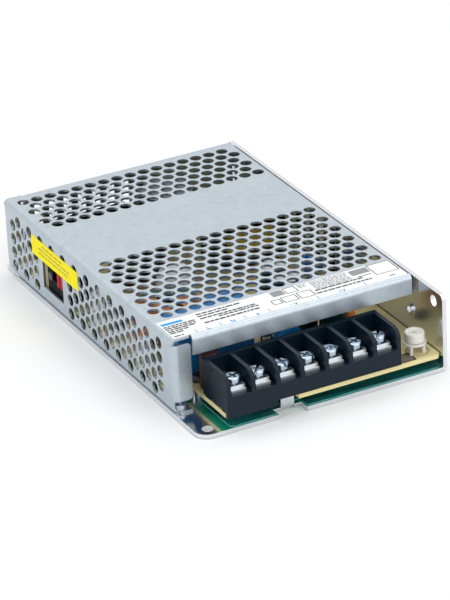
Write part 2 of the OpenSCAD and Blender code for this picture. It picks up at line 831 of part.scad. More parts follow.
module terminal_tabs() {
    color("lightyellow") for (x = terminal_places) difference() {
        union() {
            along_z(floor_level, floor_level + tab_sheet)
                span([x - tab_strip / 2, tab_front], [x + tab_strip / 2, tab_rear]);
            along_z(board_bottom - board_sheet, floor_level + tab_sheet / 2)
                span([x - tab_pin / 2, tab_rear - tab_sheet], [x + tab_pin / 2, tab_rear]);
        }
        translate([x, screw_line, floor_level - over])
            cylinder(d = terminal_screw + 2 * seat_clearance, h = tab_sheet + 2 * over);
    }
}

module terminal_washers() {
    color("whitesmoke") for (x = terminal_places) translate([x, screw_line, 0])
        along_z(washer_level, washer_level + washer_sheet) difference() {
            square(washer_side, center = true);
            circle(d = terminal_screw + 2 * seat_clearance);
        }
}

// Pan head with a cross recess and a slot, on a plain shank, its underside on the origin
module terminal_screw_form() {
    recess_depth = screw_head_height * 0.6;
    recess_width = screw_head * 0.17;
    difference() {
        rotate_extrude() {
            difference() {
                square([screw_head / 2, screw_head_height]);
                translate([screw_head / 2, screw_head_height]) rotate(180)
                    corner_waste(screw_head_height * 0.45);
            }
        }
        translate([0, 0, screw_head_height - recess_depth / 2 + over / 2]) {
            cube([screw_head + over, recess_width, recess_depth + over], center = true);
            cube([recess_width, screw_head * 0.6, recess_depth + over], center = true);
        }
    }
    translate([0, 0, -terminal_screw_length]) cylinder(d = terminal_screw, h = terminal_screw_length + 0.2);
}

module terminal_screws() {
    turn_step = 37;
    color("gainsboro") for (i = [0 : terminal_count - 1])
        translate([terminal_places[i], screw_line, head_level]) rotate(15 + i * turn_step)
            terminal_screw_form();
}

// Voltage selector

module selector_body() {
    color("black") difference() {
        along_x(selector_face, selector_back)
            span([selector_front, board_top],
                [selector_front + selector_length, board_top + selector_height]);
        along_x(selector_face - over, selector_face + slider_slot + slider_clearance)
            span([slot_start - slider_clearance, slider_middle - slider_height / 2 - slider_clearance],
                [slot_start - slider_clearance + slot_length,
                    slider_middle + slider_height / 2 + slider_clearance]);
        along_x(selector_face - over, selector_face + slider_slot) translate(selector_rivet_place)
            circle(d = rivet_diameter * 0.6);
    }
}

selector_rivet_place = [selector_front + selector_length - rivet_diameter * 0.7, board_top + rivet_level];

module selector_laminate() {
    end = selector_front + selector_length;
    color("peru") along_x(selector_face + laminate, selector_back)
        span([end, board_top], [end + laminate, board_top + selector_height]);
}

module selector_rivet() {
    color("gray") {
        along_x(selector_face - selector_gap / 2, selector_face) translate(selector_rivet_place)
            circle(d = rivet_diameter);
        along_x(selector_face, selector_face + slider_slot - seat_clearance) translate(selector_rivet_place)
            circle(d = rivet_diameter * 0.6 - 2 * seat_clearance);
    }
}

module selector_slider() {
    groove = slider_length / 6;
    color("crimson") difference() {
        along_x(selector_face - slider_reach, selector_face + slider_slot)
            span([slot_start, slider_middle - slider_height / 2],
                [slot_start + slider_length, slider_middle + slider_height / 2]);
        along_x(selector_face - slider_reach - over, selector_face - slider_reach / 2)
            translate([slot_start + slider_length / 2, slider_middle])
                square([groove, slider_height + over], center = true);
    }
}

// Trimmer

module trimmer_base() {
    leg_place = (trimmer_flange - trimmer_leg_diameter) / 2 - trimmer_flange_sheet / 2;
    color("ivory") translate([trimmer_x, trimmer_y, 0]) difference() {
        union() {
            translate([0, 0, flange_level]) cylinder(d = trimmer_flange, h = trimmer_flange_sheet);
            for (turn = [90, 218, 322]) rotate(turn) translate([leg_place, 0, board_top])
                cylinder(d = trimmer_leg_diameter, h = trimmer_leg + trimmer_flange_sheet / 2);
        }
        translate([0, 0, flange_level - over])
            cylinder(d = rotor_shaft + 2 * rotor_clearance, h = trimmer_flange_sheet + 2 * over);
    }
}

// Dished knob with a short driver slot, on a shaft that runs in the flange
module trimmer_rotor() {
    r = rotor_diameter / 2;
    bevel = rotor_dish;
    rim = 2 * rotor_dish;
    slot = [rotor_shaft * 0.8, rotor_shaft * 0.35];
    color("white") translate([trimmer_x, trimmer_y, rotor_level]) difference() {
        union() {
            rotate_extrude() polygon([[0, 0], [r - bevel, 0], [r, bevel], [r, rotor_height - bevel],
                [r - bevel / 2, rotor_height], [r - rim, rotor_height],
                [r - rim - bevel, rotor_height - rotor_dish],
                [0, rotor_height - rotor_dish]]);
            translate([0, 0, -trimmer_flange_sheet])
                cylinder(d = rotor_shaft, h = trimmer_flange_sheet + bevel);
        }
        translate([0, 0, rotor_height]) cube([slot.x, slot.y, rotor_height * 0.8], center = true);
    }
}

// Input filter

// Moulded box component standing on the board, its foot's middle at a place
module box_part(place, size) {
    edge = min(size.x, size.y) * 0.06;
    translate([place.x, place.y, board_top]) linear_extrude(size.z) rounded([size.x, size.y], edge);
}

// Can with a crimp and a bevelled top, standing on the board
module can_part(place, diameter, height) {
    r = diameter / 2;
    crimp = diameter * 0.05;
    crimp_level = diameter * 0.16;
    translate([place.x, place.y, board_top]) rotate_extrude()
        polygon([[0, 0], [r - crimp / 2, 0], [r, crimp / 2],
        [r, crimp_level - crimp], [r - crimp, crimp_level], [r, crimp_level + crimp],
        [r, height - crimp], [r - crimp, height], [0, height]]);
}

// Coated disc standing on edge across X, on two leads
module disc_part(place, diameter, depth) {
    lead = 0.8;
    lift = 1.5;
    translate([place.x, place.y, board_top]) {
        translate([0, 0, lift + diameter / 2]) rotate([90, 0, 0]) rotate_extrude() {
            difference() {
                translate([0, -depth / 2]) square([diameter / 2, depth]);
                for (s = [0, 1]) mirror([0, s]) translate([diameter / 2, depth / 2]) rotate(180)
                    corner_waste(depth * 0.3);
            }
        }
        for (s = [-1, 1]) translate([s * diameter / 4, 0, 0]) cylinder(d = lead, h = lift + diameter / 4);
    }
}

// Height of a tall part that stops short of the cover's top sheet
function under_cover(gap) = cover_under - gap - board_top;

line_capacitor_size = [30, 13, under_cover(3)];
line_capacitor_place = [board_left + 22.5, cover_front + 22];
filter_capacitor_size = [13, 6, 16];
filter_capacitor_place = [board_left + 35.4, cover_front + 34.5];

module line_capacitor() {
    color("royalblue") box_part(line_capacitor_place, line_capacitor_size);
}

module filter_capacitor() {
    color("dodgerblue") box_part(filter_capacitor_place, filter_capacitor_size);
}

suppression_diameter = 8;
suppression_depth = 4;
suppression_places = [[board_left + 46.9, cover_front + 25], [board_right - 8.4, cover_front + 59.6]];

module suppression_capacitors() {
    color("blue") for (p = suppression_places) disc_part(p, suppression_diameter, suppression_depth);
}

varistor_diameter = 11;
varistor_depth = 4;
varistor_place = [board_left + 47.4, cover_front + 9.6];

module varistor() {
    color("navy") disc_part(varistor_place, varistor_diameter, varistor_depth);
}

thermistor_diameter = 12;
thermistor_depth = 5;
thermistor_place = [board_left + 4.6, cover_front + 58];

module thermistor() {
    color("darkgreen") translate([thermistor_place.x, thermistor_place.y, 0]) rotate(90)
        disc_part([0, 0], thermistor_diameter, thermistor_depth);
}

// Sleeved fuse standing on end behind the terminal block
fuse_diameter = 7;
fuse_height = 14;
fuse_place = [board_step_left + 4.9, block_rear + 4.2];

module fuse() {
    color("brown") can_part(fuse_place, fuse_diameter, fuse_height);
}

// Ring core lying flat, raised over the board on the ends of its winding
choke_place = [board_left + 16.9, cover_front + 41.5];
choke_outer = 22;
choke_inner = 10;
choke_height = 10;
choke_wire = 1.3;
choke_lead = 1;
choke_lift = 6.5;
choke_level = board_top + choke_lift;
choke_arcs = [[200, 100], [312, 56]];

module choke_core() {
    color("seagreen") translate([choke_place.x, choke_place.y, choke_level]) difference() {
        cylinder(d = choke_outer, h = choke_height);
        translate([0, 0, -over]) cylinder(d = choke_inner, h = choke_height + 2 * over);
    }
}

// Winding on an arc of a ring core: a layer of wire all round the core's section
module ring_winding(inner, outer, height, wire, arc, turn) {
    rotate(turn) rotate_extrude(angle = arc) difference() {
        translate([inner / 2 - wire, -wire]) square([(outer - inner) / 2 + 2 * wire, height + 2 * wire]);
        translate([inner / 2, 0]) square([(outer - inner) / 2, height]);
    }
}

// Two windings, each with the direction of its middle and its arc, and with two leads down to the board
module choke_windings() {
    lead_circle = (choke_outer + choke_wire) / 2;
    color("chocolate") translate([choke_place.x, choke_place.y, 0]) for (w = choke_arcs) {
        translate([0, 0, choke_level])
            ring_winding(choke_inner, choke_outer, choke_height, choke_wire, w[1], w[0] - w[1] / 2);
        for (s = [-1, 1]) rotate(w[0] + s * w[1] * 0.4) translate([lead_circle, 0, board_top])
            cylinder(d = choke_lead, h = choke_lift - choke_wire / 2);
    }
}

bridge_size = [30, 4.6, 14];
bridge_place = [board_left + 28.4, board_back - 7.5];

module bridge_rectifier() {
    color("black") box_part(bridge_place, bridge_size);
}

// Tall cans: the first beside the transformer, the second near the back panel
bulk_diameter = 22;
bulk_height = under_cover(2.6);
bulk_places = [[board_left + 32.4, cover_back - 40.5], [board_left + 55.6, cover_back - 19.4]];

module bulk_capacitors() {
    color("dimgray") for (p = bulk_places) can_part(p, bulk_diameter, bulk_height);
}

// Transformer standing on its bobbin, its winding round an upright centre leg

transformer_place = [wall_inner - 21.6, cover_back - 49];
core_length = 30;
core_width = 11;
core_height = 18;
core_yoke = 4;
core_leg = 5;
core_centre = 9;
core_lift = 1.5;
core_level = board_top + core_lift;
bobbin_wall = 0.8;
bobbin_rail = 2.4;
window_length = core_length - 2 * core_leg;
spool_bottom = core_level + core_yoke + seat_clearance;
spool_top = core_level + core_height - core_yoke - seat_clearance;
winding_depth = core_width + 2 * bobbin_rail;

module transformer_core() {
    color("black") translate([transformer_place.x, transformer_place.y, core_level]) {
        for (z = [core_yoke / 2, core_height - core_yoke / 2]) translate([0, 0, z])
            cube([core_length, core_width, core_yoke], center = true);
        for (s = [-1, 1]) translate([s * (core_length - core_leg) / 2, 0, core_height / 2])
            cube([core_leg, core_width, core_height], center = true);
        cylinder(d = core_centre, h = core_height);
    }
}

// Spool round the centre leg, with a cheek at each end and two pin rails on the board
module transformer_bobbin() {
    cheek = [window_length - 2 * seat_clearance, winding_depth + 2 * bobbin_wall];
    rail_place = core_width / 2 + seat_clearance + bobbin_rail / 2;
    color("saddlebrown") translate([transformer_place.x, transformer_place.y, 0]) {
        difference() {
            union() {
                for (z = [spool_bottom, spool_top - bobbin_wall]) along_z(z, z + bobbin_wall)
                    rounded(cheek, 1);
                along_z(spool_bottom, spool_top)
                    circle(d = core_centre + 2 * seat_clearance + 2 * bobbin_wall);
            }
            translate([0, 0, spool_bottom - over])
                cylinder(d = core_centre + 2 * seat_clearance, h = core_height);
        }
        for (s = [-1, 1]) translate([0, s * rail_place, 0])
            along_z(board_top, spool_bottom + bobbin_wall / 2)
            square([cheek.x, bobbin_rail], center = true);
    }
}

module transformer_winding() {
    section = [window_length - 4 * seat_clearance, winding_depth];
    bottom = spool_bottom + bobbin_wall + seat_clearance;
    top = spool_top - bobbin_wall - seat_clearance;
    color("gold") translate([transformer_place.x, transformer_place.y, 0]) along_z(bottom, top) difference() {
        rounded(section, 3);
        circle(d = core_centre + 4 * seat_clearance + 2 * bobbin_wall);
    }
}

// Power devices on the chassis wall

module thermal_pad() {
    color("lightsteelblue") along_x(device_face, wall_inner)
        span([device_places[0] - device_pitch / 2, device_bottom],
            [device_places[device_count - 1] + device_pitch / 2, device_top]);
}

module power_devices() {
    lead = 0.9;
    lead_pitch = 2.8 * lead;
    color("black") for (y = device_places) {
        along_x(device_face - device_depth, device_face)
            span([y - device_width / 2, device_bottom], [y + device_width / 2, device_top]);
        for (s = [-1, 0, 1]) along_z(board_top, device_bottom)
            translate([device_face - device_depth / 2, y + s * lead_pitch])
                square([lead / 2, lead], center = true);
    }
}

// Upright spring clip bearing on each device, its foot on the board
module device_clips() {
    face = device_face - device_depth;
    color("white") for (y = device_places) along_x(face - clip_sheet, face)
        span([y - clip_width / 2, board_top], [y + clip_width / 2, cover_under - clip_gap]);
}

// Output filter: a ring core standing on edge, seen from its rim, and four cans

inductor_outer = 12.4;
inductor_inner = 6;
inductor_height = 3;
inductor_wire = 0.8;
inductor_arc = 300;
inductor_place = [board_left + 73.3, cover_front + 19, board_top + inductor_outer / 2 + inductor_wire];

// Turns a ring from lying flat to standing across X, its middle at the inductor's place
module inductor_frame() {
    translate(inductor_place) rotate([0, 90, 0]) translate([0, 0, -inductor_height / 2]) children();
}

module output_inductor_core() {
    color("darkslategray") inductor_frame() difference() {
        cylinder(d = inductor_outer, h = inductor_height);
        translate([0, 0, -over]) cylinder(d = inductor_inner, h = inductor_height + 2 * over);
    }
}

module output_inductor_winding() {
    color("orangered") inductor_frame()
        ring_winding(inductor_inner, inductor_outer, inductor_height, inductor_wire,
            inductor_arc, -inductor_arc / 2);
}

output_capacitor_diameter = 10;
output_capacitor_height = 19;
output_capacitor_pitch = 11;
output_capacitor_row = [board_left + 59.3, cover_front + 20];
output_capacitor_offset = [6.2, -10.6];
output_capacitor_places = concat([for (i = [0 : 2]) output_capacitor_row + [0, i * output_capacitor_pitch]],
    [output_capacitor_row + output_capacitor_offset]);

module output_capacitors() {
    color("darkslategray") for (p = output_capacitor_places)
        can_part(p, output_capacitor_diameter, output_capacitor_height);
}

// Small signal parts

optocoupler_size = [6.4, 9, 3.6];
optocoupler_place = [board_left + 47, cover_front + 40.5];

module optocoupler() {
    color("black") box_part(optocoupler_place, optocoupler_size);
}

control_chip_size = [6.4, 9.6, 4];
control_chip_place = [board_left + 76.4, cover_back - 33];

module control_chip() {
    color("black") box_part(control_chip_place, control_chip_size);
}

// Silicone set round the feet of the tall parts: middle, height of the straight part, radius
adhesive_places = [[board_left + 3.4, cover_front + 34, 6, 3], [board_left + 3.4, cover_front + 68, 11.5, 3],
    [board_left + 30.6, cover_front + 62.5, 12, 7]];

module adhesive() {
    color("white") for (p = adhesive_places) translate([p[0], p[1], board_top]) {
        cylinder(r = p[3], h = p[2]);
        translate([0, 0, p[2]]) intersection() {
            sphere(p[3]);
            translate([0, 0, p[3]]) cube(2 * p[3], center = true);
        }
    }
}

chassis();
cover();
insulation_film();
circuit_board();
rating_label();
selector_sticker();
terminal_block();
terminal_tabs();
terminal_washers();
terminal_screws();
selector_body();
selector_laminate();
selector_rivet();
selector_slider();
trimmer_base();
trimmer_rotor();
line_capacitor();
filter_capacitor();
suppression_capacitors();
varistor();
thermistor();
fuse();
choke_core();
choke_windings();
bridge_rectifier();
bulk_capacitors();
transformer_core();
transformer_bobbin();
transformer_winding();
power_devices();
device_clips();
thermal_pad();
output_inductor_core();
output_inductor_winding();
output_capacitors();
optocoupler();
control_chip();
adhesive();
board_screws();
cover_screws();
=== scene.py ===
import math
import random

import bpy
from mathutils import Matrix, Vector


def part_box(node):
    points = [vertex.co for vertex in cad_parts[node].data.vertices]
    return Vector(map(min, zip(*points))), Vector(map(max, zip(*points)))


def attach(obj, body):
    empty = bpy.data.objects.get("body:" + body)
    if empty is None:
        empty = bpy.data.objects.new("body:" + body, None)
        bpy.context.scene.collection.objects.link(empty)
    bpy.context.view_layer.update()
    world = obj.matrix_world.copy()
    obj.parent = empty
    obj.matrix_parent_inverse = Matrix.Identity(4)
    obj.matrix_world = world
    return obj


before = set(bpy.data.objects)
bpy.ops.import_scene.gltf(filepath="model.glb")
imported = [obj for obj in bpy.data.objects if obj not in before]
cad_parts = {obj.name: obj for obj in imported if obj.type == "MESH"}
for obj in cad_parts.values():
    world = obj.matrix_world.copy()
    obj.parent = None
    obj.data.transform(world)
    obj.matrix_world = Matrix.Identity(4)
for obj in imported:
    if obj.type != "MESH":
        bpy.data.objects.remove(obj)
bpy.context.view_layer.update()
scene = bpy.context.scene
scene.view_settings.view_transform = "Standard"

MM = 0.001
BODY = "case"


# Camera at the photograph's angle, with the photograph's long lens

CAMERA_AZIMUTH = math.radians(-26.504)
CAMERA_ELEVATION = math.radians(26.393)
CAMERA_ROLL = math.radians(-2.859)
CAMERA_OFFSET = Vector((-2.247, -6.411, -1353.66)) * MM
FOCAL_PIXELS = 3750
LONG_SIDE_PIXELS = 600
SENSOR_WIDTH = 36.0
CLIP_NEAR = 0.05
CLIP_FAR = 50.0


def make_camera():
    azimuth, elevation, roll = CAMERA_AZIMUTH, CAMERA_ELEVATION, CAMERA_ROLL
    level = math.cos(elevation)
    back = Vector((math.sin(azimuth) * level, -math.cos(azimuth) * level, math.sin(elevation)))
    right = Vector((math.cos(azimuth), math.sin(azimuth), 0.0))
    up = back.cross(right)
    turned_right = math.cos(roll) * right + math.sin(roll) * up
    turned_up = -math.sin(roll) * right + math.cos(roll) * up
    axes = Matrix((turned_right, turned_up, back)).transposed()
    data = bpy.data.cameras.new("camera")
    data.sensor_width = SENSOR_WIDTH
    data.lens = FOCAL_PIXELS / LONG_SIDE_PIXELS * SENSOR_WIDTH
    data.clip_start = CLIP_NEAR
    data.clip_end = CLIP_FAR
    camera = bpy.data.objects.new("camera", data)
    camera.matrix_world = Matrix.Translation(-(axes @ CAMERA_OFFSET)) @ axes.to_4x4()
    scene.collection.objects.link(camera)
    scene.camera = camera


# Node helpers, for the studio and the materials

# Sockets of a mix node for colours
MIX_FIRST = 6
MIX_SECOND = 7
MIX_RESULT = 2

# Most values of a noise lie between these two
NOISE_LOW = 0.3
NOISE_HIGH = 0.7

BEVEL_SAMPLES = 4
BUMP_STRENGTH = 0.35


def new_material(name):
    m = bpy.data.materials.new(name)
    m.use_nodes = True
    nodes, links = m.node_tree.nodes, m.node_tree.links
    return m, nodes, links, nodes["Principled BSDF"]


def calculate(nodes, links, operation, first, second=None):
    """A maths node. Its first input is a socket, and its second a socket or a number."""
    node = nodes.new("ShaderNodeMath")
    node.operation = operation
    links.new(first, node.inputs[0])
    if isinstance(second, float):
        node.inputs[1].default_value = second
    elif second is not None:
        links.new(second, node.inputs[1])
    return node.outputs[0]


def noise(nodes, links, scale, detail=3.0, stretch=None):
    """Noise in object space. The scale is in features per metre."""
    place = nodes.new("ShaderNodeTexCoord")
    texture = nodes.new("ShaderNodeTexNoise")
    texture.inputs["Scale"].default_value = scale
    texture.inputs["Detail"].default_value = detail
    source = place.outputs["Object"]
    if stretch:
        mapping = nodes.new("ShaderNodeMapping")
        mapping.inputs["Scale"].default_value = stretch
        links.new(source, mapping.inputs["Vector"])
        source = mapping.outputs["Vector"]
    links.new(source, texture.inputs["Vector"])
    return texture.outputs["Fac"]


def spread(nodes, links, source, low, high, start=NOISE_LOW, end=NOISE_HIGH):
    """Maps the values from start to end to the range from low to high. The defaults suit a noise."""
    node = nodes.new("ShaderNodeMapRange")
    node.inputs["From Min"].default_value = start
    node.inputs["From Max"].default_value = end
    node.inputs["To Min"].default_value = low
    node.inputs["To Max"].default_value = high
    links.new(source, node.inputs["Value"])
    return node.outputs["Result"]


def blend_colours(nodes, links, factor, first, second):
    node = nodes.new("ShaderNodeMix")
    node.data_type = "RGBA"
    for socket, colour in ((node.inputs[MIX_FIRST], first), (node.inputs[MIX_SECOND], second)):
        if isinstance(colour, tuple):
            socket.default_value = (*colour, 1.0)
        else:
            links.new(colour, socket)
    links.new(factor, node.inputs["Factor"])
    return node.outputs[MIX_RESULT]


def shade(colour, amount):
    return tuple(min(1.0, c * amount) for c in colour)


def mottled(nodes, links, tone, colour, amount):
    """A colour that a noise makes darker and lighter by the amount."""
    return blend_colours(nodes, links, tone, shade(colour, 1 - amount), shade(colour, 1 + amount))


def facing_up(nodes, links):
    """How far a face looks up: 1 for level and upward, 0 for upright, -1 for level and downward."""
    surface = nodes.new("ShaderNodeNewGeometry")
    parts = nodes.new("ShaderNodeSeparateXYZ")
    links.new(surface.outputs["True Normal"], parts.inputs[0])
    return parts.outputs["Z"]


def soften(nodes, links, shader, radius, bump_source=None, bump_height=0.0):
    """Rounds sharp edges in the shading, with a fine bump where one is given. Both sizes are in mm."""
    edge = nodes.new("ShaderNodeBevel")
    edge.samples = BEVEL_SAMPLES
    edge.inputs["Radius"].default_value = radius * MM
    normal = edge.outputs["Normal"]
    if bump_source is not None:
        bump = nodes.new("ShaderNodeBump")
        bump.inputs["Strength"].default_value = BUMP_STRENGTH
        bump.inputs["Distance"].default_value = bump_height * MM
        links.new(bump_source, bump.inputs["Height"])
        links.new(normal, bump.inputs["Normal"])
        normal = bump.outputs["Normal"]
    links.new(normal, shader.inputs["Normal"])


# Studio: white surroundings, three wide lamps, pale floor

FILL_COLOUR = (0.96, 0.98, 1.0, 1.0)
FILL_STRENGTH = 0.71
WHITE = (1.0, 1.0, 1.0, 1.0)
WHITE_STRENGTH = 1.0

# Each lamp has a place and a size in metres and a power in watts, and points at the origin
LAMPS = {
    "overhead_lamp": ((0.1, 0.25, 1.1), (1.2, 1.2), 5.2),
    "front_lamp": ((0.25, -1.1, 0.75), (1.7, 1.2), 5.6),
    "left_lamp": ((-1.1, -0.1, 0.6), (1.2, 0.9), 1.9),
}

FLOOR_SIZE = 30.0
FLOOR_DROP = 0.0002


def background(nodes, colour, strength):
    node = nodes.new("ShaderNodeBackground")
    node.inputs["Color"].default_value = colour
    node.inputs["Strength"].default_value = strength
    return node.outputs[0]


def make_world():
    """White to the camera, in reflections and through clear pieces, with a softer fill as its light."""
    world = bpy.data.worlds.new("studio")
    scene.world = world
    world.use_nodes = True
    nodes, links = world.node_tree.nodes, world.node_tree.links
    nodes.clear()
    path = nodes.new("ShaderNodeLightPath").outputs
    seen = calculate(nodes, links, "MAXIMUM", path["Is Camera Ray"], path["Is Glossy Ray"])
    shown = calculate(nodes, links, "MAXIMUM", seen, path["Is Transmission Ray"])
    mix = nodes.new("ShaderNodeMixShader")
    links.new(shown, mix.inputs["Fac"])
    links.new(background(nodes, FILL_COLOUR, FILL_STRENGTH), mix.inputs[1])
    links.new(background(nodes, WHITE, WHITE_STRENGTH), mix.inputs[2])
    out = nodes.new("ShaderNodeOutputWorld")
    links.new(mix.outputs[0], out.inputs["Surface"])


def make_lights():
    for name, (place, size, power) in LAMPS.items():
        data = bpy.data.lights.new(name, "AREA")
        data.shape = "RECTANGLE"
        data.size, data.size_y = size
        data.energy = power
        lamp = bpy.data.objects.new(name, data)
        lamp.location = Vector(place)
        lamp.rotation_mode = "QUATERNION"
        lamp.rotation_quaternion = (-Vector(place)).to_track_quat("-Z", "Y")
        scene.collection.objects.link(lamp)


def make_floor():
    bpy.ops.mesh.primitive_plane_add(size=FLOOR_SIZE, location=(0, 0, -FLOOR_DROP))
    floor = bpy.context.object
    floor.name = "floor"
    m, nodes, links, shader = new_material("floor_paper")
    tone = noise(nodes, links, scale=30.0)
    paper = blend_colours(nodes, links, tone, (0.90, 0.90, 0.90), (0.92, 0.92, 0.92))
    links.new(paper, shader.inputs["Base Color"])
    shader.inputs["Roughness"].default_value = 0.9
    floor.data.materials.append(m)


# Materials, all made of nodes and measured in the object's own metres

GLOSS_CHANGE = 0.12
GRAIN_SCALE = 4000.0

# A wave texture of scale 1 turns through this many radians in a metre
WAVE_RADIANS = 20.0

# How far up a face looks where it counts as an underside or as a lid
UNDERSIDE = -0.5
LID = 0.9

# How much of the film is seen at its cut edges and on its faces, as a share
FILM_EDGE = 0.45
FILM_FACE = 0.06


def plain(name, colour, roughness, metallic=0.0, mottle=0.08, scale=500.0, grain=0.0, edge=0.2, coat=0.0,
          specular=0.5):
    """A moulded, dipped or plated surface with slight changes of colour and gloss."""
    m, nodes, links, shader = new_material(name)
    tone = noise(nodes, links, scale)
    gloss = spread(nodes, links, tone, roughness * (1 - GLOSS_CHANGE), roughness * (1 + GLOSS_CHANGE))
    links.new(mottled(nodes, links, tone, colour, mottle), shader.inputs["Base Color"])
    links.new(gloss, shader.inputs["Roughness"])
    shader.inputs["Metallic"].default_value = metallic
    shader.inputs["Coat Weight"].default_value = coat
    shader.inputs["Specular IOR Level"].default_value = specular
    grain_source = noise(nodes, links, GRAIN_SCALE, detail=2.0) if grain else None
    soften(nodes, links, shader, edge, grain_source, grain)
    return m


def galvanised(name):
    """Satin zinc sheet: faint spangle, soft cloudiness and a fine speckle in the gloss."""
    m, nodes, links, shader = new_material(name)
    cloud = noise(nodes, links, scale=60.0, detail=4.0)
    speckle = noise(nodes, links, scale=1500.0, detail=2.0)
    place = nodes.new("ShaderNodeTexCoord")
    spangle = nodes.new("ShaderNodeTexVoronoi")
    spangle.inputs["Scale"].default_value = 420.0
    links.new(place.outputs["Object"], spangle.inputs["Vector"])
    base = blend_colours(nodes, links, cloud, (0.450, 0.507, 0.553), (0.485, 0.543, 0.592))
    patch = nodes.new("ShaderNodeMix")
    patch.data_type = "RGBA"
    patch.blend_type = "SOFT_LIGHT"
    patch.inputs["Factor"].default_value = 0.14
    grey = nodes.new("ShaderNodeHueSaturation")
    grey.inputs["Saturation"].default_value = 0.1
    links.new(spangle.outputs["Color"], grey.inputs["Color"])
    links.new(base, patch.inputs[MIX_FIRST])
    links.new(grey.outputs["Color"], patch.inputs[MIX_SECOND])
    links.new(patch.outputs[MIX_RESULT], shader.inputs["Base Color"])
    links.new(spread(nodes, links, speckle, low=0.36, high=0.40), shader.inputs["Roughness"])
    shader.inputs["Metallic"].default_value = 1.0
    soften(nodes, links, shader, radius=0.15)
    return m


def bright_plate(name):
    """Glossy plated sheet that mirrors what stands over it."""
    m, nodes, links, shader = new_material(name)
    cloud = noise(nodes, links, scale=40.0, detail=4.0)
    rolled = noise(nodes, links, scale=500.0, stretch=(1.0, 0.05, 1.0))
    base = blend_colours(nodes, links, cloud, (0.70, 0.72, 0.75), (0.78, 0.80, 0.83))
    links.new(base, shader.inputs["Base Color"])
    links.new(spread(nodes, links, rolled, low=0.15, high=0.23), shader.inputs["Roughness"])
    shader.inputs["Metallic"].default_value = 1.0
    soften(nodes, links, shader, radius=0.25, bump_source=cloud, bump_height=0.02)
    return m


def board_material(name):
    """Laminate: tan above and on its edges, green lacquer below."""
    m, nodes, links, shader = new_material(name)
    weave = noise(nodes, links, scale=900.0, detail=2.0)
    top = blend_colours(nodes, links, weave, (0.74, 0.64, 0.31), (0.84, 0.73, 0.38))
    below = blend_colours(nodes, links, weave, (0.005, 0.66, 0.36), (0.010, 0.78, 0.44))
    under = calculate(nodes, links, "LESS_THAN", facing_up(nodes, links), UNDERSIDE)
    links.new(blend_colours(nodes, links, under, top, below), shader.inputs["Base Color"])
    shader.inputs["Roughness"].default_value = 0.38
    return m


def film_material(name):
    """Thin clear film: light passes, the faces shine a little and the cut edges are denser."""
    m, nodes, links, shader = new_material(name)
    haze = noise(nodes, links, scale=150.0)
    tint = blend_colours(nodes, links, haze, (0.14, 0.66, 0.63), (0.18, 0.74, 0.71))
    links.new(tint, shader.inputs["Base Color"])
    shader.inputs["Roughness"].default_value = 0.12
    clear = nodes.new("ShaderNodeBsdfTransparent")
    clear.inputs["Color"].default_value = (0.84, 0.86, 0.93, 1.0)
    level = calculate(nodes, links, "ABSOLUTE", facing_up(nodes, links))
    density = spread(nodes, links, level, FILM_EDGE, FILM_FACE, start=0.0, end=1.0)
    mix = nodes.new("ShaderNodeMixShader")
    links.new(density, mix.inputs["Fac"])
    links.new(clear.outputs[0], mix.inputs[1])
    links.new(shader.outputs[0], mix.inputs[2])
    links.new(mix.outputs[0], nodes["Material Output"].inputs["Surface"])
    return m


def can_material(name, sleeve, lid_metal):
    """Sleeved can: dark sleeve, bare metal top."""
    m, nodes, links, shader = new_material(name)
    tone = noise(nodes, links, scale=300.0)
    lid = calculate(nodes, links, "GREATER_THAN", facing_up(nodes, links), LID)
    side = mottled(nodes, links, tone, sleeve, amount=0.15)
    metal = mottled(nodes, links, tone, lid_metal, amount=0.1)
    links.new(blend_colours(nodes, links, lid, side, metal), shader.inputs["Base Color"])
    links.new(lid, shader.inputs["Metallic"])
    shader.inputs["Roughness"].default_value = 0.35
    return m


def wire_material(name, colour, radian_length):
    """Lacquered wire: bands of turns, with painted shade in the grooves between them. The length of one
    radian of the bands is in mm.
    """
    m, nodes, links, shader = new_material(name)
    place = nodes.new("ShaderNodeTexCoord")
    bands = nodes.new("ShaderNodeTexWave")
    bands.inputs["Scale"].default_value = 1.0 / (radian_length * MM) / WAVE_RADIANS
    bands.inputs["Distortion"].default_value = 0.6
    links.new(place.outputs["Object"], bands.inputs["Vector"])
    # The darker end of the bands is painted shade in the grooves between the turns; the lighter end is the
    # wire's own colour
    colours = blend_colours(nodes, links, bands.outputs["Fac"], shade(colour, 0.35), shade(colour, 1.1))
    links.new(colours, shader.inputs["Base Color"])
    shader.inputs["Metallic"].default_value = 0.6
    shader.inputs["Roughness"].default_value = 0.3
    return m


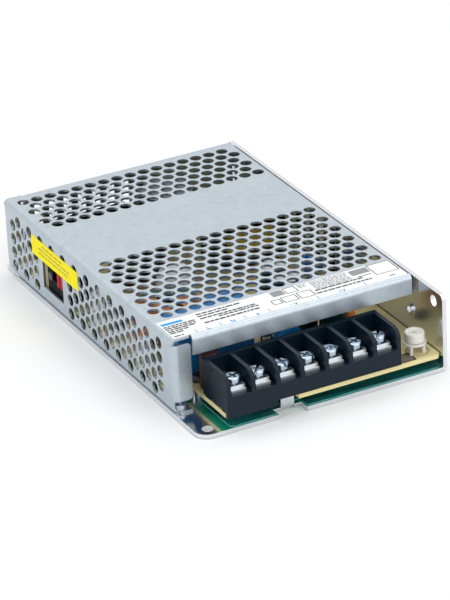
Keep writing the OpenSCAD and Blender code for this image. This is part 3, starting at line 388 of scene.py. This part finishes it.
def make_materials():
    black = plain("black_plastic", (0.004, 0.005, 0.006), 0.45, grain=0.01, specular=0.05)
    zinc = plain("blue_zinc", (0.42, 0.50, 0.58), 0.20, metallic=1.0, mottle=0.06, edge=0.15)
    tin = plain("bright_tin", (0.70, 0.73, 0.75), 0.30, metallic=0.9, mottle=0.05, edge=0.12)
    blue = plain("blue_plastic", (0.012, 0.240, 0.620), 0.40)
    ferrite = plain("ferrite", (0.015, 0.015, 0.016), 0.55, grain=0.02)
    looks = {
        "chassis": bright_plate("bright_plate"),
        "cover": galvanised("galvanised"),
        "insulation_film": film_material("film"),
        "circuit_board": board_material("board"),
        "rating_label": plain("label_film", (0.93, 0.935, 0.94), 0.45, mottle=0.01, edge=0.02),
        "selector_sticker": plain("sticker_film", (0.98, 0.84, 0.003), 0.5, mottle=0.02, edge=0.02,
                                  specular=0.10),
        "terminal_block": plain("block_plastic", (0.0006, 0.0080, 0.0180), 0.40, grain=0.01, edge=0.3,
                                specular=0.26),
        "terminal_tabs": tin,
        "terminal_washers": tin,
        "terminal_screws": zinc,
        "selector_body": black,
        "selector_laminate": plain("laminate", (0.55, 0.42, 0.18), 0.55),
        "selector_rivet": plain("rivet_metal", (0.10, 0.10, 0.11), 0.45, metallic=0.5),
        "selector_slider": plain("red_plastic", (0.42, 0.006, 0.022), 0.35, specular=0.10),
        "trimmer_base": plain("white_plastic", (0.76, 0.74, 0.68), 0.35, mottle=0.04),
        "trimmer_rotor": plain("cream_plastic", (0.76, 0.74, 0.67), 0.35, mottle=0.04),
        "line_capacitor": blue,
        "filter_capacitor": blue,
        "suppression_capacitors": plain("blue_coating", (0.010, 0.130, 0.500), 0.25, coat=0.3),
        "varistor": plain("varistor_coating", (0.010, 0.300, 0.750), 0.3),
        "thermistor": plain("thermistor_coating", (0.010, 0.030, 0.018), 0.4),
        "fuse": plain("fuse_sleeve", (0.060, 0.008, 0.012), 0.4),
        "choke_core": plain("green_core", (0.010, 0.100, 0.055), 0.45),
        "choke_windings": wire_material("choke_wire", (0.62, 0.20, 0.05), 1.2),
        "bridge_rectifier": black,
        "bulk_capacitors": can_material("bulk_can", (0.015, 0.016, 0.018), (0.22, 0.22, 0.23)),
        "transformer_core": ferrite,
        "transformer_bobbin": plain("bobbin_plastic", (0.05, 0.03, 0.015), 0.5),
        "transformer_winding": plain("yellow_tape", (0.62, 0.44, 0.02), 0.3, mottle=0.12),
        "power_devices": black,
        "device_clips": plain("clip_plate", (0.94, 0.94, 0.94), 0.55, metallic=0.05),
        "thermal_pad": plain("heat_pad", (0.28, 0.32, 0.36), 0.6),
        "output_inductor_core": ferrite,
        "output_inductor_winding": wire_material("output_wire", (0.60, 0.17, 0.03), 1.0),
        "output_capacitors": can_material("output_can", (0.006, 0.030, 0.035), (0.68, 0.68, 0.68)),
        "optocoupler": black,
        "control_chip": black,
        "adhesive": plain("silicone", (0.80, 0.80, 0.78), 0.5, mottle=0.03),
        "board_screws": plain("dull_zinc", (0.10, 0.11, 0.12), 0.40, metallic=1.0),
        "cover_screws": zinc,
    }
    for name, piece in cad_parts.items():
        for slot in piece.material_slots:
            slot.material = looks[name]


# Print: flat pieces that lie slightly proud of the sheet that carries them, with all places in mm

PRINT_LIFT = 0.02


def ink_material(name, colour):
    return plain(name, colour, 0.5, edge=0.01)


def flat_piece(name, material):
    mesh = bpy.data.meshes.new(name)
    piece = bpy.data.objects.new(name, mesh)
    scene.collection.objects.link(piece)
    mesh.materials.append(material)
    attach(piece, BODY)
    return piece


def fill_piece(piece, quads):
    points, faces = [], []
    for quad in quads:
        faces.append(tuple(range(len(points), len(points) + len(quad))))
        points.extend(tuple(c * MM for c in p) for p in quad)
    piece.data.from_pydata(points, [], faces)
    piece.data.update()


def level_bar(x0, y0, x1, y1, z):
    return [(x0, y0, z), (x1, y0, z), (x1, y1, z), (x0, y1, z)]


def stroke(x0, y0, x1, y1, width, z):
    """A level bar from one point to another."""
    length = math.hypot(x1 - x0, y1 - y0)
    nx, ny = -(y1 - y0) / length * width / 2, (x1 - x0) / length * width / 2
    return [(x0 - nx, y0 - ny, z), (x1 - nx, y1 - ny, z), (x1 + nx, y1 + ny, z), (x0 + nx, y0 + ny, z)]


def outline(x0, y0, x1, y1, width, z):
    """An empty frame of four bars."""
    corners = [(x0, y0), (x1, y0), (x1, y1), (x0, y1)]
    return [stroke(*corners[i], *corners[(i + 1) % 4], width, z) for i in range(4)]


def word_spans(draw, start, end, shortest=0.8, longest=2.8, space=0.3):
    """Starts and ends of the words in a row of small print."""
    spans = []
    while start < end - shortest:
        word = min(draw.uniform(shortest, longest), end - start)
        spans.append((start, start + word))
        start += word + space
    return spans


# Strokes of each letter, as shares of its size
LETTERS = {
    "L": [(0, 1, 0, 0), (0, 0, 0.6, 0)],
    "N": [(0, 0, 0, 1), (0, 1, 0.7, 0), (0.7, 0, 0.7, 1)],
    "V": [(0, 1, 0.35, 0), (0.35, 0, 0.7, 1)],
    "-": [(0, 0.5, 0.5, 0.5)],
    "+": [(0, 0.5, 0.6, 0.5), (0.3, 0.2, 0.3, 0.8)],
    "ground": [(0.4, 1, 0.4, 0.5), (0, 0.5, 0.8, 0.5), (0.15, 0.28, 0.65, 0.28), (0.3, 0.06, 0.5, 0.06)],
}
LETTER_LINE = 0.22


def letter(name, x, y, size, z):
    return [stroke(x + a * size, y + b * size, x + c * size, y + d * size, size * LETTER_LINE, z)
            for a, b, c, d in LETTERS[name]]


# Label print: plain bars, bare fields and empty frames.
# Places are to the right of the label's back left corner and forward of it.
# A row of print has a start, an end, its upper edge and its height.
SIDE_ROWS = [(0.5, 13.2, 4.3, 0.9), (0.5, 13.2, 5.6, 0.9), (0.5, 12.2, 6.9, 0.9), (0.5, 8.2, 8.2, 0.9),
             (0.5, 6.2, 9.5, 0.9), (0.7, 4.7, 12.1, 0.8)]
RATING_ROWS = [(14.5, 31.5, 1.2, 1.0), (14.4, 25.9, 2.9, 1.0), (14.4, 36.4, 4.8, 1.0), (21.0, 36.9, 6.2, 1.0),
               (14.3, 35.6, 8.2, 1.1)]
RIGHT_ROWS = [(54.4, 58.0, 0.6, 0.4), (54.4, 58.0, 1.5, 0.4), (54.4, 57.6, 2.4, 0.4), (58.2, 77.2, 7.1, 1.0),
              (57.7, 79.7, 9.3, 1.0), (76.2, 81.2, 6.0, 0.7), (85.8, 88.8, 11.2, 0.6)]
SMALL_PRINT = {"start": 59.2, "end": 73.8, "first": 0.5, "pitch": 0.95, "height": 0.55, "rows": 7}
LABEL_SEED = 4

# A field, a frame or a bar has a start, an end, an upper edge and a lower edge.
BARE_FIELDS = [(43.6, 48.4, 0.4, 4.4), (74.8, 82.0, 0.8, 4.8)]
FRAMES = [(49.0, 53.4, 0.4, 4.4), (41.2, 44.4, 6.6, 9.8), (45.2, 50.6, 6.2, 10.2), (51.6, 57.0, 5.8, 10.4),
          (82.6, 91.4, 0.3, 8.4)]
FRAME_LINE = 0.4
HEADING_BAR = (0.6, 8.8, 1.9, 3.6)

# Terminal marks along the label's front edge, counted in terminals from the block's left end
TERMINALS = 7
BLOCK_WALL = 1.5
MARK_SHIFT = -1.0
MARK_RISE = 0.2
TICKED_EDGES = (0, 1, 2, 3, 5, 7)
TICK_LENGTH = 2.2
TICK_WIDTH = 0.35
LETTER_SIZE = 1.7
LETTER_PLACES = [("L", 0.5), ("N", 1.5), ("ground", 2.5)]
LETTER_SHIFT = -0.6
SIGN_PLACES = [("-", 4), ("+", 6)]
SIGN_SHIFT = -1.3
VOLT_SHIFT = 0.1


def terminal_marks(row, z):
    """Ticks between the groups of terminals, and each group's letters."""
    block_low, block_high = (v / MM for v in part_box("terminal_block"))
    pitch = (block_high.x - block_low.x - BLOCK_WALL) / TERMINALS
    first = block_low.x + BLOCK_WALL / 2 + MARK_SHIFT
    quads = []
    for edge in TICKED_EDGES:
        x = first + edge * pitch
        quads.append(level_bar(x - TICK_WIDTH / 2, row, x + TICK_WIDTH / 2, row + TICK_LENGTH, z))
    for name, place in LETTER_PLACES:
        quads += letter(name, first + place * pitch + LETTER_SHIFT, row, LETTER_SIZE, z)
    for sign, place in SIGN_PLACES:
        quads += letter(sign, first + place * pitch + SIGN_SHIFT, row, LETTER_SIZE, z)
        quads += letter("V", first + place * pitch + VOLT_SHIFT, row, LETTER_SIZE, z)
    return quads


def make_label_print():
    low, high = (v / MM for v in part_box("rating_label"))
    z = high.z + PRINT_LIFT
    draw = random.Random(LABEL_SEED)

    def field(start, end, upper, lower):
        return level_bar(low.x + start, high.y - lower, low.x + end, high.y - upper, z)

    quads = []
    for start, end, upper, height in SIDE_ROWS + RATING_ROWS + RIGHT_ROWS:
        quads += [field(a, b, upper, upper + height) for a, b in word_spans(draw, start, end)]
    for start, end, upper, lower in FRAMES:
        quads += outline(low.x + start, high.y - lower, low.x + end, high.y - upper, FRAME_LINE, z)
    ink = ink_material("print_ink", (0.07, 0.07, 0.08))
    fill_piece(flat_piece("label_print", ink), quads)

    quads = []
    for row in range(SMALL_PRINT["rows"]):
        upper = SMALL_PRINT["first"] + row * SMALL_PRINT["pitch"]
        words = word_spans(draw, SMALL_PRINT["start"], SMALL_PRINT["end"])
        quads += [field(a, b, upper, upper + SMALL_PRINT["height"]) for a, b in words]
    quads += [field(*place) for place in BARE_FIELDS]
    grey = ink_material("print_grey", (0.26, 0.27, 0.28))
    fill_piece(flat_piece("label_fields", grey), quads)

    quads = [field(*HEADING_BAR)] + terminal_marks(low.y + MARK_RISE, z)
    blue = ink_material("print_blue", (0.01, 0.33, 0.74))
    fill_piece(flat_piece("label_marks", blue), quads)


# Sticker print: rows of plain bars, each with a start and an end forward of the sticker's back edge

STICKER_ROWS = [(9.0, 27.0), (6.0, 32.0), (6.0, 31.0)]
STICKER_WORDS = {"shortest": 1.2, "longest": 3.4, "space": 0.5}
STICKER_FIRST = 2.0
STICKER_PITCH = 1.7
STICKER_BAR = 0.6
STICKER_SEED = 5


def make_sticker_print():
    low, high = (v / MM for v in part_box("selector_sticker"))
    x = low.x - PRINT_LIFT
    draw = random.Random(STICKER_SEED)
    quads = []
    for row, (start, end) in enumerate(STICKER_ROWS):
        z0 = high.z - STICKER_FIRST - row * STICKER_PITCH
        z1 = z0 + STICKER_BAR
        for a, b in word_spans(draw, start, end, **STICKER_WORDS):
            y0, y1 = high.y - a, high.y - b
            quads.append([(x, y0, z0), (x, y1, z0), (x, y1, z1), (x, y0, z1)])
    olive = ink_material("print_olive", (0.42, 0.33, 0.02))
    fill_piece(flat_piece("sticker_print", olive), quads)


# Board print: a ring round the trimmer and an edged field beside the terminal block

RING_RADIUS = 3.9
RING_WIDTH = 0.25
RING_SHIFT = 1.0
RING_STEPS = 40
FIELD_WIDTH = 7.8
FIELD_DEPTH = 5.4
FIELD_LINE = 0.6
FIELD_LAP = 1.0
FIELD_SETBACK = 1.0


def ring(cx, cy, z):
    quads = []
    outer = RING_RADIUS + RING_WIDTH
    for i in range(RING_STEPS):
        a, b = 2 * math.pi * i / RING_STEPS, 2 * math.pi * (i + 1) / RING_STEPS
        corners = ((RING_RADIUS, a), (outer, a), (outer, b), (RING_RADIUS, b))
        quads.append([(cx + r * math.cos(t), cy + r * math.sin(t), z) for r, t in corners])
    return quads


def make_board_print():
    board_low, board_high = (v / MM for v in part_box("circuit_board"))
    rotor_low, rotor_high = (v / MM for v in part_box("trimmer_rotor"))
    _, block_high = (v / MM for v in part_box("terminal_block"))
    z = board_high.z + PRINT_LIFT
    rotor = (rotor_low + rotor_high) / 2
    x0, y0 = block_high.x - FIELD_LAP, board_low.y + FIELD_SETBACK
    x1, y1 = x0 + FIELD_WIDTH, y0 + FIELD_DEPTH
    quads = ring(rotor.x + RING_SHIFT, rotor.y, z) + outline(x0, y0, x1, y1, FIELD_LINE, z)
    ink = ink_material("board_ink", (0.02, 0.02, 0.018))
    fill_piece(flat_piece("board_print", ink), quads)
    dim = ink_material("board_dim", (0.17, 0.155, 0.10))
    fill_piece(flat_piece("board_field", dim), [level_bar(x0, y0, x1, y1, z - PRINT_LIFT / 2)])


make_camera()
make_world()
make_lights()
make_floor()
make_materials()
make_label_print()
make_sticker_print()
make_board_print()
